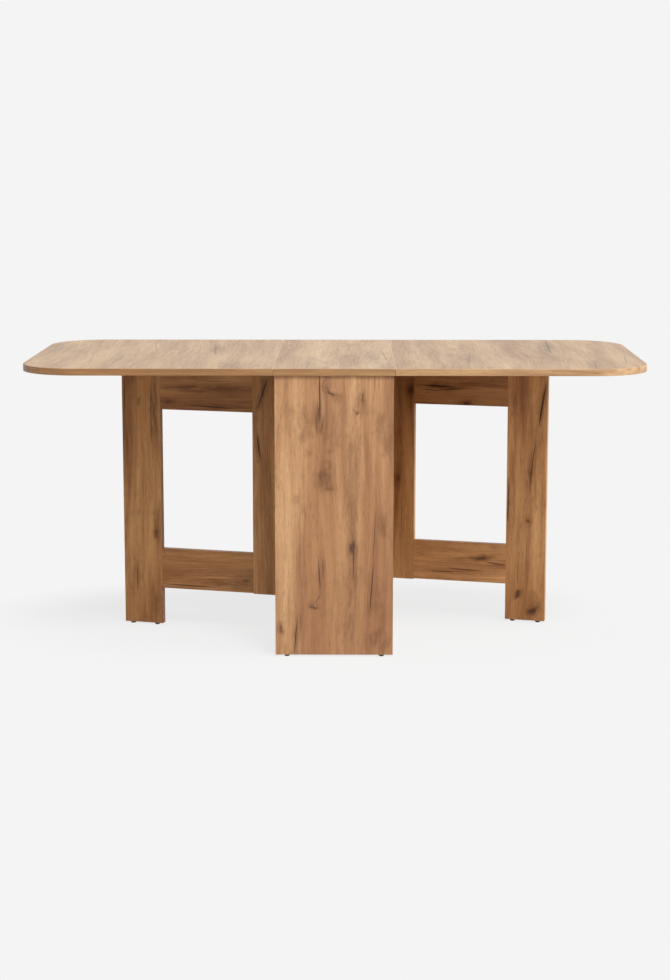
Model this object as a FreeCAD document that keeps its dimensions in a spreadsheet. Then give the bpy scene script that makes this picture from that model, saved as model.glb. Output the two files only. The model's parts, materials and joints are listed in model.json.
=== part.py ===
import FreeCAD, Part
import Sketcher
import os
import re

# Gateleg table: a centre top on two end panels and a spine, two hinged leaves, two swinging gates.
# Frame: +X to the right along the table, +Y to the rear, +Z up, origin on the floor under the centre.
# Everything on the left is described once; the right side is the same turned half round about Z.

Vector = FreeCAD.Vector
Rotation = FreeCAD.Rotation
Placement = FreeCAD.Placement

# Driving dimensions in millimetres and degrees, one spreadsheet row each.
sizes = {
    # tops
    "tableHeight": 760,
    "tableDepth": 800,
    "boardThick": 18,
    "centreWidth": 314,
    "leafLength": 664,
    "leafGap": 0.5,
    "cornerRadius": 150,
    "bandThick": 2,
    "edgeRound": 1,
    "boardEase": 0.5,
    # end panels and spine
    "panelWidth": 308,
    "panelInset": 6,
    "panelGlideSpacing": 248,
    "spineBottom": 106,
    "hingeBoardWidth": 112,
    "hingeBoardFront": 115,
    "hingeBoardBottom": 105,
    # gates
    "gateAngle": 75,
    "gateLength": 478,
    "gateHeadroom": 8,
    "legWidth": 112,
    "stileWidth": 100,
    "stileBottom": 105,
    "railHeight": 112,
    "bottomRailBottom": 107,
    "topRailDrop": 13,
    "legGlideInset": 20,
    "gateSideGap": 0.5,
    # rest pads and gate stops under the leaves
    "padGap": 0.3,
    "padWidth": 14,
    "padLength": 60,
    "stopWidth": 20,
    "stopLength": 80,
    "stopDrop": 18,
    # glides
    "glideHeight": 5,
    "glideDiameter": 14,
    "glideChamfer": 1.5,
    "nailDiameter": 2,
    "nailLength": 12,
    # hinges
    "hingeLength": 60,
    "knuckleRadius": 3,
    "pinDiameter": 3,
    "runningFit": 0.05,
    "knuckleGap": 0.3,
    "plateThick": 1.5,
    "flapStart": 4,
    "flapWidth": 26,
    "gateFlapWidth": 14,
    "leafHingePitch": 270,
    "gateHingeInset": 85,
    "hingeScrewPitch": 36,
    "pinHeadDiameter": 5.5,
    "pinHeadThick": 1,
    # screws and their holes
    "screwDiameter": 3.5,
    "screwLength": 14,
    "edgeScrewLength": 25,
    "stopScrewLength": 24,
    "screwHeadDiameter": 6.6,
    "screwHeadThick": 1.6,
    "screwHeadTaper": 0.6,
    "screwTip": 2,
    "recessWidth": 0.9,
    "recessDepth": 1,
    "screwFit": 0.1,
    "screwSink": 1,
    "confirmatDiameter": 7,
    "confirmatLength": 50,
    "confirmatHeadDiameter": 10,
    "confirmatHeadThick": 4,
    "confirmatInset": 65,
    # dowels and cam fittings
    "dowelDiameter": 8,
    "dowelLength": 34,
    "dowelPanelDepth": 11,
    "dowelPitch": 64,
    "dowelInset": 50,
    "dowelFit": 0.05,
    "camDiameter": 15,
    "camThick": 12.5,
    "camInset": 24,
    "camEndInset": 140,
    "camBoltDiameter": 6,
    "camBoltDepth": 11,
    "camBoltShort": 2,
    "camFit": 0.1,
    # brackets under the centre top
    "bracketLeg": 30,
    "bracketWidth": 20,
    "bracketThick": 2,
    "bracketHole": 18,
    "panelBracketSpacing": 200,
    "spineBracketSpacing": 500,
    # how far a cutter runs past a face, and how far a hinge's tabs run into its plate
    "overcut": 1,
    "tabLap": 1,
}

# Planes and axes worked out from the sizes.
places = {
    "underside": "tableHeight - boardThick",
    "panelOuter": "tableDepth / 2 - panelInset",
    "panelInner": "panelOuter - boardThick",
    "leafInner": "centreWidth / 2 + leafGap",
    "leafAxisX": "centreWidth / 2 + leafGap / 2",
    "leafAxisZ": "underside - knuckleRadius",
    "boreRadius": "pinDiameter / 2 + runningFit",
    "gateTop": "underside - gateHeadroom",
    "topRailTop": "gateTop - topRailDrop",
    "gateAxisX": "boardThick / 2 + hingeBoardWidth + gateSideGap",
    "gateAxisY": "hingeBoardFront + knuckleRadius",
    "gateFace": "gateSideGap + boardThick",
    "gateMiddle": "gateSideGap + boardThick / 2",
    "gateEnd": "knuckleRadius + gateLength",
    "legStart": "gateEnd - legWidth",
    "railStart": "knuckleRadius + stileWidth",
    "screwHole": "screwDiameter / 2 + screwFit",
    "dowelHole": "dowelDiameter / 2 + dowelFit",
    "nailHole": "nailDiameter / 2 + screwFit",
    "flapMiddle": "flapStart + flapWidth / 2",
    "gateFlapMiddle": "flapStart + gateFlapWidth / 2",
    "lowHingeZ": "stileBottom + gateHingeInset",
    "highHingeZ": "gateTop - gateHingeInset",
    "camHeightLow": "spineBottom + camEndInset",
    "camHeightHigh": "underside - camEndInset",
}

doc = FreeCAD.newDocument("GatelegTable")
sheet = doc.addObject("Spreadsheet::Sheet", "Sizes")
for row, (alias, value) in enumerate(sizes.items(), start=1):
    sheet.set("A%d" % row, alias)
    sheet.set("B%d" % row, str(value))
    sheet.setAlias("B%d" % row, alias)
doc.recompute()

# The direction that a screw, pin or hole points in, as a turn of +Z.
ways = {
    "+z": Rotation(),
    "+y": Rotation(Vector(1, 0, 0), -90),
    "-y": Rotation(Vector(1, 0, 0), 90),
    "+x": Rotation(Vector(0, 1, 0), 90),
    "-x": Rotation(Vector(0, 1, 0), -90),
}

nodes = []


def formula(text):
    """Write a size expression with its names replaced by spreadsheet cells."""

    def swap(match):
        word = match.group()
        if word in places:
            return "(" + formula(places[word]) + ")"
        if word in sizes:
            return "Sizes." + word
        return word

    return re.sub(r"[A-Za-z_]\w*", swap, str(text))


def bind(thing, **properties):
    for name, text in properties.items():
        thing.setExpression(name.replace("__", "."), formula(text))


def move(thing, x, y, z):
    """Bind the place of an object to its three expressions."""
    bind(thing, Placement__Base__x=x, Placement__Base__y=y, Placement__Base__z=z)


def box(name, x0, x1, y0, y1, z0, z1):
    """A plain block between two corners."""
    block = doc.addObject("Part::Box", name)
    bind(
        block,
        Length="(%s) - (%s)" % (x1, x0),
        Width="(%s) - (%s)" % (y1, y0),
        Height="(%s) - (%s)" % (z1, z0),
    )
    move(block, x0, y0, z0)
    return block


def rod(name, spot, way, radius, length):
    """A cylinder that starts at a spot and points one way."""
    cylinder = doc.addObject("Part::Cylinder", name)
    bind(cylinder, Radius=radius, Height=length)
    cylinder.Placement = Placement(Vector(), ways[way])
    move(cylinder, *spot)
    return cylinder


def group(name, pieces):
    compound = doc.addObject("Part::Compound", name)
    compound.Links = pieces
    return compound


def fuse(name, pieces):
    union = doc.addObject("Part::MultiFuse", name)
    union.Shapes = pieces
    return union


def cut(name, base, tools):
    """A piece with its holes taken out."""
    result = doc.addObject("Part::Cut", name)
    result.Base = base
    result.Tool = group(name + "_cuts", tools)
    return result


def copies(name, master, spots, way):
    """Copies of one finished piece, each at its own spot."""
    links = []
    for number, spot in enumerate(spots, start=1):
        link = doc.addObject("App::Link", "%s_%d" % (name, number))
        link.LinkedObject = master
        link.Placement = Placement(Vector(), ways[way])
        move(link, *spot)
        links.append(link)
    return links


def holes(name, spots, way, radius, depth):
    """Round holes, one at each spot."""
    return [
        rod("%s_%d" % (name, number), spot, way, radius, depth)
        for number, spot in enumerate(spots, start=1)
    ]


def slab(name, x0, x1, y0, y1, z0, z1, corners=None, rounding="boardEase"):
    """A board: a sketched rectangle padded to its height, its corners and edges rounded."""
    body = doc.addObject("PartDesign::Body", name)
    plane = next(f for f in body.Origin.OriginFeatures if f.Role == "XY_Plane")
    sketch = body.newObject("Sketcher::SketchObject", name + "_outline")
    sketch.AttachmentSupport = (plane, "")
    sketch.MapMode = "FlatFace"
    rough = 10.0  # any size will do until the constraints set it
    points = [Vector(0, 0), Vector(rough, 0), Vector(rough, rough), Vector(0, rough)]
    for index in range(4):
        sketch.addGeometry(Part.LineSegment(points[index], points[(index + 1) % 4]))
    for index in range(4):
        sketch.addConstraint(Sketcher.Constraint("Coincident", index, 2, (index + 1) % 4, 1))
    for index in (0, 2):
        sketch.addConstraint(Sketcher.Constraint("Horizontal", index))
        sketch.addConstraint(Sketcher.Constraint("Vertical", index + 1))
    sketch.addConstraint(Sketcher.Constraint("Coincident", 0, 1, -1, 1))
    for label, line in (("long", 0), ("wide", 1)):
        made = sketch.addConstraint(Sketcher.Constraint("Distance", line, rough))
        sketch.renameConstraint(made, label)
    sketch.setExpression("Constraints.long", formula("(%s) - (%s)" % (x1, x0)))
    sketch.setExpression("Constraints.wide", formula("(%s) - (%s)" % (y1, y0)))
    solid = body.newObject("PartDesign::Pad", name + "_pad")
    solid.Profile = sketch
    bind(solid, Length="(%s) - (%s)" % (z1, z0))
    doc.recompute()
    if corners:
        nearly = 0.01
        upright = [
            "Edge%d" % number
            for number, edge in enumerate(solid.Shape.Edges, start=1)
            if edge.BoundBox.XMax < nearly and edge.BoundBox.YLength < nearly
        ]
        turned = body.newObject("PartDesign::Fillet", name + "_corners")
        turned.Base = (solid, upright)
        bind(turned, Radius=corners)
        doc.recompute()
        solid = turned
    if rounding:
        eased = body.newObject("PartDesign::Fillet", name + "_edges")
        eased.Base = (solid, [])
        eased.UseAllEdges = True
        bind(eased, Radius=rounding)
    move(body, x0, y0, z0)
    return body


def finish(label, thing, side=None):
    """Name a finished sub-part and, on the right side, turn it half round about Z."""
    thing.Label = label
    if side == "right":
        thing.Placement = Placement(Vector(), Rotation(Vector(0, 0, 1), 180))
    nodes.append(thing)
    return thing


def finish_gate(label, thing, side):
    """Name a gate's sub-part and swing it out about its hinge axis."""
    thing.Label = label
    # a turn of one degree sets the axis; the bound angle then takes its place
    thing.Placement = Placement(Vector(), Rotation(Vector(0, 0, 1), 1))
    sign, angle = ("-", "gateAngle") if side == "left" else ("+", "gateAngle + 180")
    move(thing, "%s(gateAxisX)" % sign, "%s(gateAxisY)" % sign, "0")
    bind(thing, Placement__Rotation__Angle=angle)
    nodes.append(thing)
    return thing


def wood_screw(name, length):
    """A pan-head wood screw with a pointed end and a cross recess, head below the origin."""
    shank = rod(name + "_shank", ("0", "0", "0"), "+z", "screwDiameter / 2", length + " - screwTip")
    tip = doc.addObject("Part::Cone", name + "_tip")
    bind(tip, Radius1="screwDiameter / 2", Radius2="screwDiameter / 8", Height="screwTip")
    move(tip, "0", "0", length + " - screwTip")
    head = doc.addObject("Part::Cone", name + "_head")
    bind(head, Radius1="screwHeadDiameter / 2 - screwHeadTaper", Radius2="screwHeadDiameter / 2")
    bind(head, Height="screwHeadThick")
    move(head, "0", "0", "-screwHeadThick")
    solid = fuse(name + "_solid", [shank, tip, head])
    half = "recessWidth / 2"
    arm = "screwHeadDiameter / 4"
    floor = "recessDepth - screwHeadThick"
    low = "-screwHeadThick - overcut"
    slots = [
        box(name + "_slot_long", "-" + arm, arm, "-" + half, half, low, floor),
        box(name + "_slot_wide", "-" + half, half, "-" + arm, arm, low, floor),
    ]
    return cut(name, solid, slots)


def glide(name):
    """A nail-on glide: a chamfered disc on the floor with its nail above it."""
    edge = doc.addObject("Part::Cone", name + "_edge")
    bind(edge, Radius1="glideDiameter / 2 - glideChamfer", Radius2="glideDiameter / 2")
    bind(edge, Height="glideChamfer")
    spot = ("0", "0", "glideChamfer")
    disc = rod(name + "_disc", spot, "+z", "glideDiameter / 2", "glideHeight - glideChamfer")
    spot = ("0", "0", "glideHeight - glideChamfer")
    nail = rod(name + "_nail", spot, "+z", "nailDiameter / 2", "nailLength + glideChamfer")
    return fuse(name, [edge, disc, nail])


def flap(name, side, wide, own):
    """A hinge flap with its knuckles. The axis lies along Y and the plate lies above it."""
    start, end = "flapStart", "flapStart + " + wide
    if side == "-x":
        start, end = "-(%s)" % end, "-flapStart"
    half = "hingeLength / 2"
    third = "hingeLength / 6"
    spans = {
        "outer": [("-" + half, "-%s - knuckleGap / 2" % third), (third + " + knuckleGap / 2", half)],
        "middle": [("-%s + knuckleGap / 2" % third, third + " - knuckleGap / 2")],
    }[own]
    low = "knuckleRadius - plateThick"
    pieces = [box(name + "_plate", start, end, "-" + half, half, low, "knuckleRadius")]
    for number, (y0, y1) in enumerate(spans, start=1):
        tab = ("0", "flapStart + tabLap") if side == "+x" else ("-flapStart - tabLap", "0")
        pieces.append(box("%s_tab_%d" % (name, number), *tab, y0, y1, low, "knuckleRadius"))
        length = "(%s) - (%s)" % (y1, y0)
        pieces.append(rod("%s_knuckle_%d" % (name, number), ("0", y0, "0"), "+y", "knuckleRadius", length))
    bore = rod(name + "_bore", ("0", "-hingeLength", "0"), "+y", "boreRadius", "2 * hingeLength")
    middle = "flapStart + (%s) / 2" % wide
    if side == "-x":
        middle = "-(%s)" % middle
    spots = [(middle, y, "0") for y in ("-hingeScrewPitch / 2", "hingeScrewPitch / 2")]
    screwed = holes(name + "_hole", spots, "+z", "screwHole", "2 * knuckleRadius")
    return cut(name, fuse(name + "_solid", pieces), [bore] + screwed)


def hinge_pin(name):
    """A hinge pin along Y with its head at the near end."""
    shaft = rod(name + "_shaft", ("0", "-hingeLength / 2", "0"), "+y", "pinDiameter / 2", "hingeLength")
    spot = ("0", "-hingeLength / 2 - pinHeadThick", "0")
    head = rod(name + "_head", spot, "+y", "pinHeadDiameter / 2", "pinHeadThick")
    return fuse(name, [shaft, head])


def cam_disc(name):
    """A cam lock disc along Z, slotted on one side for its bolt."""
    disc = rod(name + "_disc", ("0", "0", "0"), "+z", "camDiameter / 2 - camFit", "camThick")
    half = "(camBoltDiameter / 2 + camFit)"
    axis = "camThick - boardThick / 2"
    spans = ("-camBoltShort", "camDiameter", "-" + half, half)
    slot = box(name + "_slot", *spans, axis + " - " + half, axis + " + " + half)
    arm, edge = "camDiameter / 3", "recessWidth"
    low, high = "camThick - recessDepth", "camThick + overcut"
    recess = [
        box(name + "_recess_long", "-" + arm, arm, "-" + edge, edge, low, high),
        box(name + "_recess_wide", "-" + edge, edge, "-" + arm, arm, low, high),
    ]
    return cut(name, disc, [slot] + recess)


def bracket(name):
    """An angle bracket: one leg under the top along +X, one leg down the face at X zero."""
    half = "bracketWidth / 2"
    flat = box(name + "_flat", "0", "bracketLeg", "-" + half, half, "-bracketThick", "0")
    upright = box(name + "_upright", "0", "bracketThick", "-" + half, half, "-bracketLeg", "0")
    through = "bracketThick + 2 * overcut"
    spot = ("bracketHole", "0", "-bracketThick - overcut")
    up = rod(name + "_top_hole", spot, "+z", "screwHole", through)
    spot = ("-overcut", "0", "-bracketHole")
    across = rod(name + "_side_hole", spot, "+x", "screwHole", through)
    return cut(name, fuse(name + "_solid", [flat, upright]), [up, across])


def product(values, others):
    return [(one, other) for one in values for other in others]


# Finished pieces that are repeated.
short_screw = wood_screw("short_screw", "screwLength")
edge_screw = wood_screw("edge_screw", "edgeScrewLength")
stop_screw = wood_screw("stop_screw", "stopScrewLength")
nail_glide = glide("nail_glide")
leaf_flap_fixed = flap("leaf_flap_fixed", "+x", "flapWidth", "outer")
leaf_flap_moving = flap("leaf_flap_moving", "-x", "flapWidth", "middle")
post_flap = flap("post_flap", "+x", "flapWidth", "outer")
gate_flap = flap("gate_flap", "-x", "gateFlapWidth", "middle")
pin = hinge_pin("pin")
cam = cam_disc("cam")
angle_bracket = bracket("angle_bracket")

screw_y = ("-hingeScrewPitch / 2", "hingeScrewPitch / 2")
leaf_hinge_y = ("-leafHingePitch", "0", "leafHingePitch")
gate_hinge_z = ("lowHingeZ", "highHingeZ")
screw_seat = "underside - plateThick"

# ---- centre top -------------------------------------------------------------------------------
half_width = "centreWidth / 2"
half_depth = "tableDepth / 2"
frame_screw_spots = {
    "left": [
        ("-leafAxisX + flapMiddle", "%s + %s" % (y, dy), screw_seat)
        for y, dy in product(leaf_hinge_y, screw_y)
    ],
    "right": [
        ("leafAxisX - flapMiddle", "%s + %s" % (y, dy), screw_seat)
        for y, dy in product(leaf_hinge_y, screw_y)
    ],
}
bracket_spots = [
    ("panelBracketSpacing / 2", "panelInner", "-y"),
    ("-panelBracketSpacing / 2", "panelInner", "-y"),
    ("panelBracketSpacing / 2", "-(panelInner)", "+y"),
    ("-panelBracketSpacing / 2", "-(panelInner)", "+y"),
    ("boardThick / 2", "spineBracketSpacing / 2", "+x"),
    ("-boardThick / 2", "-spineBracketSpacing / 2", "-x"),
]
bracket_turns = {"+x": 0, "+y": 90, "-x": 180, "-y": 270}
steps = {"+x": (1, 0), "-x": (-1, 0), "+y": (0, 1), "-y": (0, -1)}
bracket_top_spots = [
    ("%s + %d * bracketHole" % (x, steps[way][0]), "%s + %d * bracketHole" % (y, steps[way][1]),
     "underside - bracketThick")
    for x, y, way in bracket_spots
]
opposite = {"+x": "-x", "-x": "+x", "+y": "-y", "-y": "+y"}
bracket_side_spots = [
    (("%s + %d * bracketThick" % (x, steps[way][0]), "%s + %d * bracketThick" % (y, steps[way][1]),
      "underside - bracketHole"), opposite[way])
    for x, y, way in bracket_spots
]

centre_outer = slab(
    "centre_outer", "-" + half_width, half_width, "-" + half_depth, half_depth,
    "underside", "tableHeight", rounding="edgeRound",
)
inner_x = half_width + " - bandThick"
inner_y = half_depth + " - bandThick"
centre_core = slab(
    "centre_core", "-(%s)" % inner_x, inner_x, "-(%s)" % inner_y, inner_y,
    "underside", "tableHeight", rounding=None,
)
drilled = holes("centre_left", frame_screw_spots["left"], "+z", "screwHole", "screwLength")
drilled += holes("centre_right", frame_screw_spots["right"], "+z", "screwHole", "screwLength")
drilled += holes("centre_bracket", bracket_top_spots, "+z", "screwHole", "screwLength")
finish("center_top", cut("center_top", centre_core, drilled))
finish("center_top_edge_band", cut("center_top_edge_band", centre_outer, [centre_core]))

# ---- end panels -------------------------------------------------------------------------------
half_panel = "panelWidth / 2"
dowel_heights = [
    "%s + %s * dowelPitch" % (base, step)
    for base, step in (("spineBottom + dowelInset", 0), ("spineBottom + dowelInset", 1),
                       ("underside - dowelInset", 0), ("underside - dowelInset", -1))
]
cam_heights = ("camHeightLow", "camHeightHigh")
panel_middle = "panelOuter - boardThick / 2"
glide_x = ("-panelGlideSpacing / 2", "panelGlideSpacing / 2")


def end_panel(label, sign, way):
    """One end panel, with its holes for dowels, cam bolts, bracket screws and glide nails."""
    faces = {"+": ("panelInner", "panelOuter"), "-": ("-(panelOuter)", "-(panelInner)")}[sign]
    board = slab(
        label + "_board", "-" + half_panel, half_panel, *faces, "glideHeight", "underside",
    )
    inner = "%s(panelInner)" % sign
    spots = [("0", inner, z) for z in dowel_heights]
    tools = holes(label + "_dowel", spots, way, "dowelHole", "dowelPanelDepth + dowelFit")
    spots = [("0", inner, z) for z in cam_heights]
    tools += holes(label + "_bolt", spots, way, "camBoltDiameter / 2 + camFit", "camBoltDepth + camFit")
    spots = [spot for spot, screw_way in bracket_side_spots if screw_way == way]
    tools += holes(label + "_screw", spots, way, "screwHole", "screwLength + screwFit")
    spots = [(x, "%s(%s)" % (sign, panel_middle), "glideHeight") for x in glide_x]
    tools += holes(label + "_nail", spots, "+z", "nailHole", "nailLength + screwFit")
    return finish(label, cut(label, board, tools))


end_panel("front_panel", "-", "-y")
end_panel("rear_panel", "+", "+y")
for label, sign in (("front_glides", "-"), ("rear_glides", "+")):
    spots = [(x, "%s(%s)" % (sign, panel_middle), "0") for x in glide_x]
    finish(label, group(label, copies(label, nail_glide, spots, "+z")))

# ---- spine ------------------------------------------------------------------------------------
spine_board = slab(
    "spine_board", "-boardThick / 2", "boardThick / 2", "-(panelInner)", "panelInner",
    "spineBottom", "underside", rounding=None,
)
board_middle = "hingeBoardFront - boardThick / 2"
confirmat_heights = (
    "hingeBoardBottom + confirmatInset",
    "(hingeBoardBottom + gateTop) / 2",
    "gateTop - confirmatInset",
)
tools = []
for label, sign, way in (("front", "-", "+y"), ("rear", "+", "-y")):
    inner = "%s(panelInner)" % sign
    away = "-" if sign == "+" else "+"
    spots = [("0", inner, z) for z in dowel_heights]
    depth = "dowelLength - dowelPanelDepth + dowelFit"
    tools += holes("spine_%s_dowel" % label, spots, way, "dowelHole", depth)
    spots = [("0", inner, z) for z in cam_heights]
    tools += holes("spine_%s_bolt" % label, spots, way, "camBoltDiameter / 2 + camFit", "camInset")
    seat = "boardThick / 2 - camThick - camFit"
    spots = [(seat, "%s %s camInset" % (inner, away), z) for z in cam_heights]
    tools += holes("spine_%s_cam" % label, spots, "+x", "camDiameter / 2", "camThick + camFit + overcut")
for number, (spot, way) in enumerate(bracket_side_spots, start=1):
    if way in ("+x", "-x"):
        tools += holes("spine_bracket_%d" % number, [spot], way, "screwHole", "screwLength + screwFit")
for sign, way in (("-", "-x"), ("+", "+x")):
    away = "+" if sign == "-" else "-"
    spots = [("%sboardThick / 2" % away, "%s(%s)" % (sign, board_middle), z) for z in confirmat_heights]
    name = "spine_confirmat_" + ("left" if sign == "-" else "right")
    tools += holes(name, spots, way, "confirmatDiameter / 2 + screwFit", "boardThick")
    tools += holes(name + "_head", spots, way, "confirmatHeadDiameter / 2 + screwFit", "confirmatHeadThick")
finish("spine_panel", cut("spine_panel", spine_board, tools))

front_spots = [("0", "-(panelInner) - dowelPanelDepth", z) for z in dowel_heights]
rear_spots = [("0", "panelInner + dowelPanelDepth", z) for z in dowel_heights]
dowels = holes("front_dowel", front_spots, "+y", "dowelDiameter / 2", "dowelLength")
dowels += holes("rear_dowel", rear_spots, "-y", "dowelDiameter / 2", "dowelLength")
finish("spine_dowels", group("spine_dowels", dowels))

bolt_length = "camBoltDepth + camInset - camBoltShort"
bolts = holes(
    "front_bolt", [("0", "-(panelInner) - camBoltDepth", z) for z in cam_heights],
    "+y", "camBoltDiameter / 2", bolt_length,
)
bolts += holes(
    "rear_bolt", [("0", "panelInner + camBoltDepth", z) for z in cam_heights],
    "-y", "camBoltDiameter / 2", bolt_length,
)
finish("spine_cam_bolts", group("spine_cam_bolts", bolts))

cams = []
for label, sign, away, turn in (("front", "-", "+", 180), ("rear", "+", "-", 0)):
    spots = [
        ("boardThick / 2 - camThick", "%s(panelInner) %s camInset" % (sign, away), z)
        for z in cam_heights
    ]
    links = copies(label + "_cam", cam, spots, "+x")
    for link in links:
        base = Rotation(Vector(0, 1, 0), 90) * Rotation(Vector(0, 0, 1), 90 + turn)
        link.Placement = Placement(link.Placement.Base, base)
    cams += links
finish("spine_cam_discs", group("spine_cam_discs", cams))

# ---- brackets ---------------------------------------------------------------------------------
brackets = []
bracket_screws = copies("bracket_top_screw", short_screw, bracket_top_spots, "+z")
for number, (x, y, way) in enumerate(bracket_spots, start=1):
    link = copies("bracket_%d" % number, angle_bracket, [(x, y, "underside")], "+z")[0]
    link.Placement = Placement(link.Placement.Base, Rotation(Vector(0, 0, 1), bracket_turns[way]))
    brackets.append(link)
    spot, screw_way = bracket_side_spots[number - 1]
    bracket_screws += copies("bracket_side_screw_%d" % number, short_screw, [spot], screw_way)
finish("top_brackets", group("top_brackets", brackets))
finish("top_bracket_screws", group("top_bracket_screws", bracket_screws))


# ---- hinge boards, leaf hinges and gate hinges, seen from the left side ------------------------
def hinge_board(side):
    label = side + "_hinge_board"
    front = "-hingeBoardFront"
    outer = "-(boardThick / 2 + hingeBoardWidth)"
    board = slab(
        label + "_board", outer, "-boardThick / 2", front, front + " + boardThick",
        "hingeBoardBottom", "gateTop",
    )
    spots = [("-boardThick / 2 + overcut", "-(%s)" % board_middle, z) for z in confirmat_heights]
    depth = "confirmatLength - boardThick + 2 * overcut"
    tools = holes(label + "_screw", spots, "-x", "confirmatDiameter / 2 + screwFit", depth)
    spots = [("-(gateAxisX) + flapMiddle", front, "%s + %s" % (z, dz))
             for z, dz in product(gate_hinge_z, screw_y)]
    tools += holes(label + "_pilot", spots, "+y", "screwHole", "screwLength")
    finish(label, cut(label, board, tools), side)

    label = side + "_hinge_board_screws"
    shafts = [("boardThick / 2", "-(%s)" % board_middle, z) for z in confirmat_heights]
    screws = []
    for number, spot in enumerate(shafts, start=1):
        shank = rod("%s_%d_shank" % (label, number), spot, "-x", "confirmatDiameter / 2", "confirmatLength")
        radius = "confirmatHeadDiameter / 2"
        head = rod("%s_%d_head" % (label, number), spot, "-x", radius, "confirmatHeadThick")
        screws.append(fuse("%s_%d" % (label, number), [shank, head]))
    finish(label, group(label, screws), side)


def leaf_hinges(side):
    axis_spots = [("-leafAxisX", y, "leafAxisZ") for y in leaf_hinge_y]
    label = side + "_leaf_hinge_frame_plates"
    finish(label, group(label, copies(label, leaf_flap_fixed, axis_spots, "+z")), side)
    label = side + "_leaf_hinge_pins"
    finish(label, group(label, copies(label, pin, axis_spots, "+z")), side)
    label = side + "_leaf_hinge_frame_screws"
    finish(label, group(label, copies(label, short_screw, frame_screw_spots["left"], "+z")), side)
    label = side + "_leaf_hinge_plates"
    finish(label, group(label, copies(label, leaf_flap_moving, axis_spots, "+z")), side)


def gate_post_hinges(side):
    axis_spots = [("-(gateAxisX)", "-(gateAxisY)", z) for z in gate_hinge_z]
    label = side + "_gate_hinge_post_plates"
    finish(label, group(label, copies(label, post_flap, axis_spots, "+y")), side)
    label = side + "_gate_hinge_pins"
    finish(label, group(label, copies(label, pin, axis_spots, "+y")), side)
    spots = [("-(gateAxisX) + flapMiddle", "-hingeBoardFront - plateThick", "%s + %s" % (z, dz))
             for z, dz in product(gate_hinge_z, screw_y)]
    label = side + "_gate_hinge_post_screws"
    finish(label, group(label, copies(label, short_screw, spots, "+y")), side)


def leaf(side):
    """A leaf with its rounded outer corners, hinge screws, rest pad and gate stop."""
    inner = "-(leafInner)"
    outer = "-(leafInner + leafLength)"
    outline = slab(
        side + "_leaf_outer", outer, inner, "-" + half_depth, half_depth,
        "underside", "tableHeight", corners="cornerRadius", rounding="edgeRound",
    )
    core = slab(
        side + "_leaf_core", outer + " + bandThick", inner + " - bandThick",
        "-(%s)" % inner_y, inner_y, "underside", "tableHeight",
        corners="cornerRadius - bandThick", rounding=None,
    )
    screw_spots = [("-leafAxisX - flapMiddle", "%s + %s" % (y, dy), screw_seat)
                   for y, dy in product(leaf_hinge_y, screw_y)]
    stop_x = "-(gateFace + padGap + stopWidth / 2)"
    stop_y = "legStart + legWidth / 2"
    cos_turn, sin_turn = "cos(gateAngle * 1deg)", "sin(gateAngle * 1deg)"

    def world(x, y):
        return (
            "-(gateAxisX) + (%s) * %s - (%s) * %s" % (x, cos_turn, y, sin_turn),
            "-(gateAxisY) + (%s) * %s + (%s) * %s" % (x, sin_turn, y, cos_turn),
        )

    stop_screw_y = ["%s %s stopLength / 4" % (stop_y, sign) for sign in "+-"]
    stop_spots = [world(stop_x, y) for y in stop_screw_y]
    tools = holes(side + "_leaf_hole", screw_spots, "+z", "screwHole", "screwLength")
    depth = "stopScrewLength - stopDrop + screwHeadThick + screwSink"
    spots = [(x, y, "underside") for x, y in stop_spots]
    tools += holes(side + "_leaf_stop_hole", spots, "+z", "screwHole", depth)
    finish(side + "_leaf_board", cut(side + "_leaf_board", core, tools), side)
    label = side + "_leaf_edge_band"
    finish(label, cut(label, outline, [core]), side)
    label = side + "_leaf_hinge_screws"
    finish(label, group(label, copies(label, short_screw, screw_spots, "+z")), side)

    label = side + "_rest_pad"
    half = "padWidth / 2"
    pad = slab(
        label + "_block", "-gateMiddle - " + half, "-gateMiddle + " + half,
        stop_y + " - padLength / 2", stop_y + " + padLength / 2", "gateTop + padGap", "underside",
    )
    finish_gate(label, group(label, [pad]), side)

    label = side + "_gate_stop"
    block = slab(
        label + "_block", "-(gateFace + padGap + stopWidth)", "-(gateFace + padGap)",
        stop_y + " - stopLength / 2", stop_y + " + stopLength / 2",
        "underside - stopDrop", "underside",
    )
    spots = [(stop_x, y, "underside - stopDrop - overcut") for y in stop_screw_y]
    through = holes(label + "_hole", spots, "+z", "screwHole", "stopDrop + 2 * overcut")
    depth = "overcut + screwSink + screwHeadThick"
    sunk = holes(label + "_sink", spots, "+z", "screwHeadDiameter / 2 + screwFit", depth)
    finish_gate(label, cut(label, block, through + sunk), side)

    label = side + "_gate_stop_screws"
    spots = [(stop_x, y, "underside - stopDrop + screwHeadThick + screwSink") for y in stop_screw_y]
    finish_gate(label, group(label, copies(label, stop_screw, spots, "+z")), side)


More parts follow.
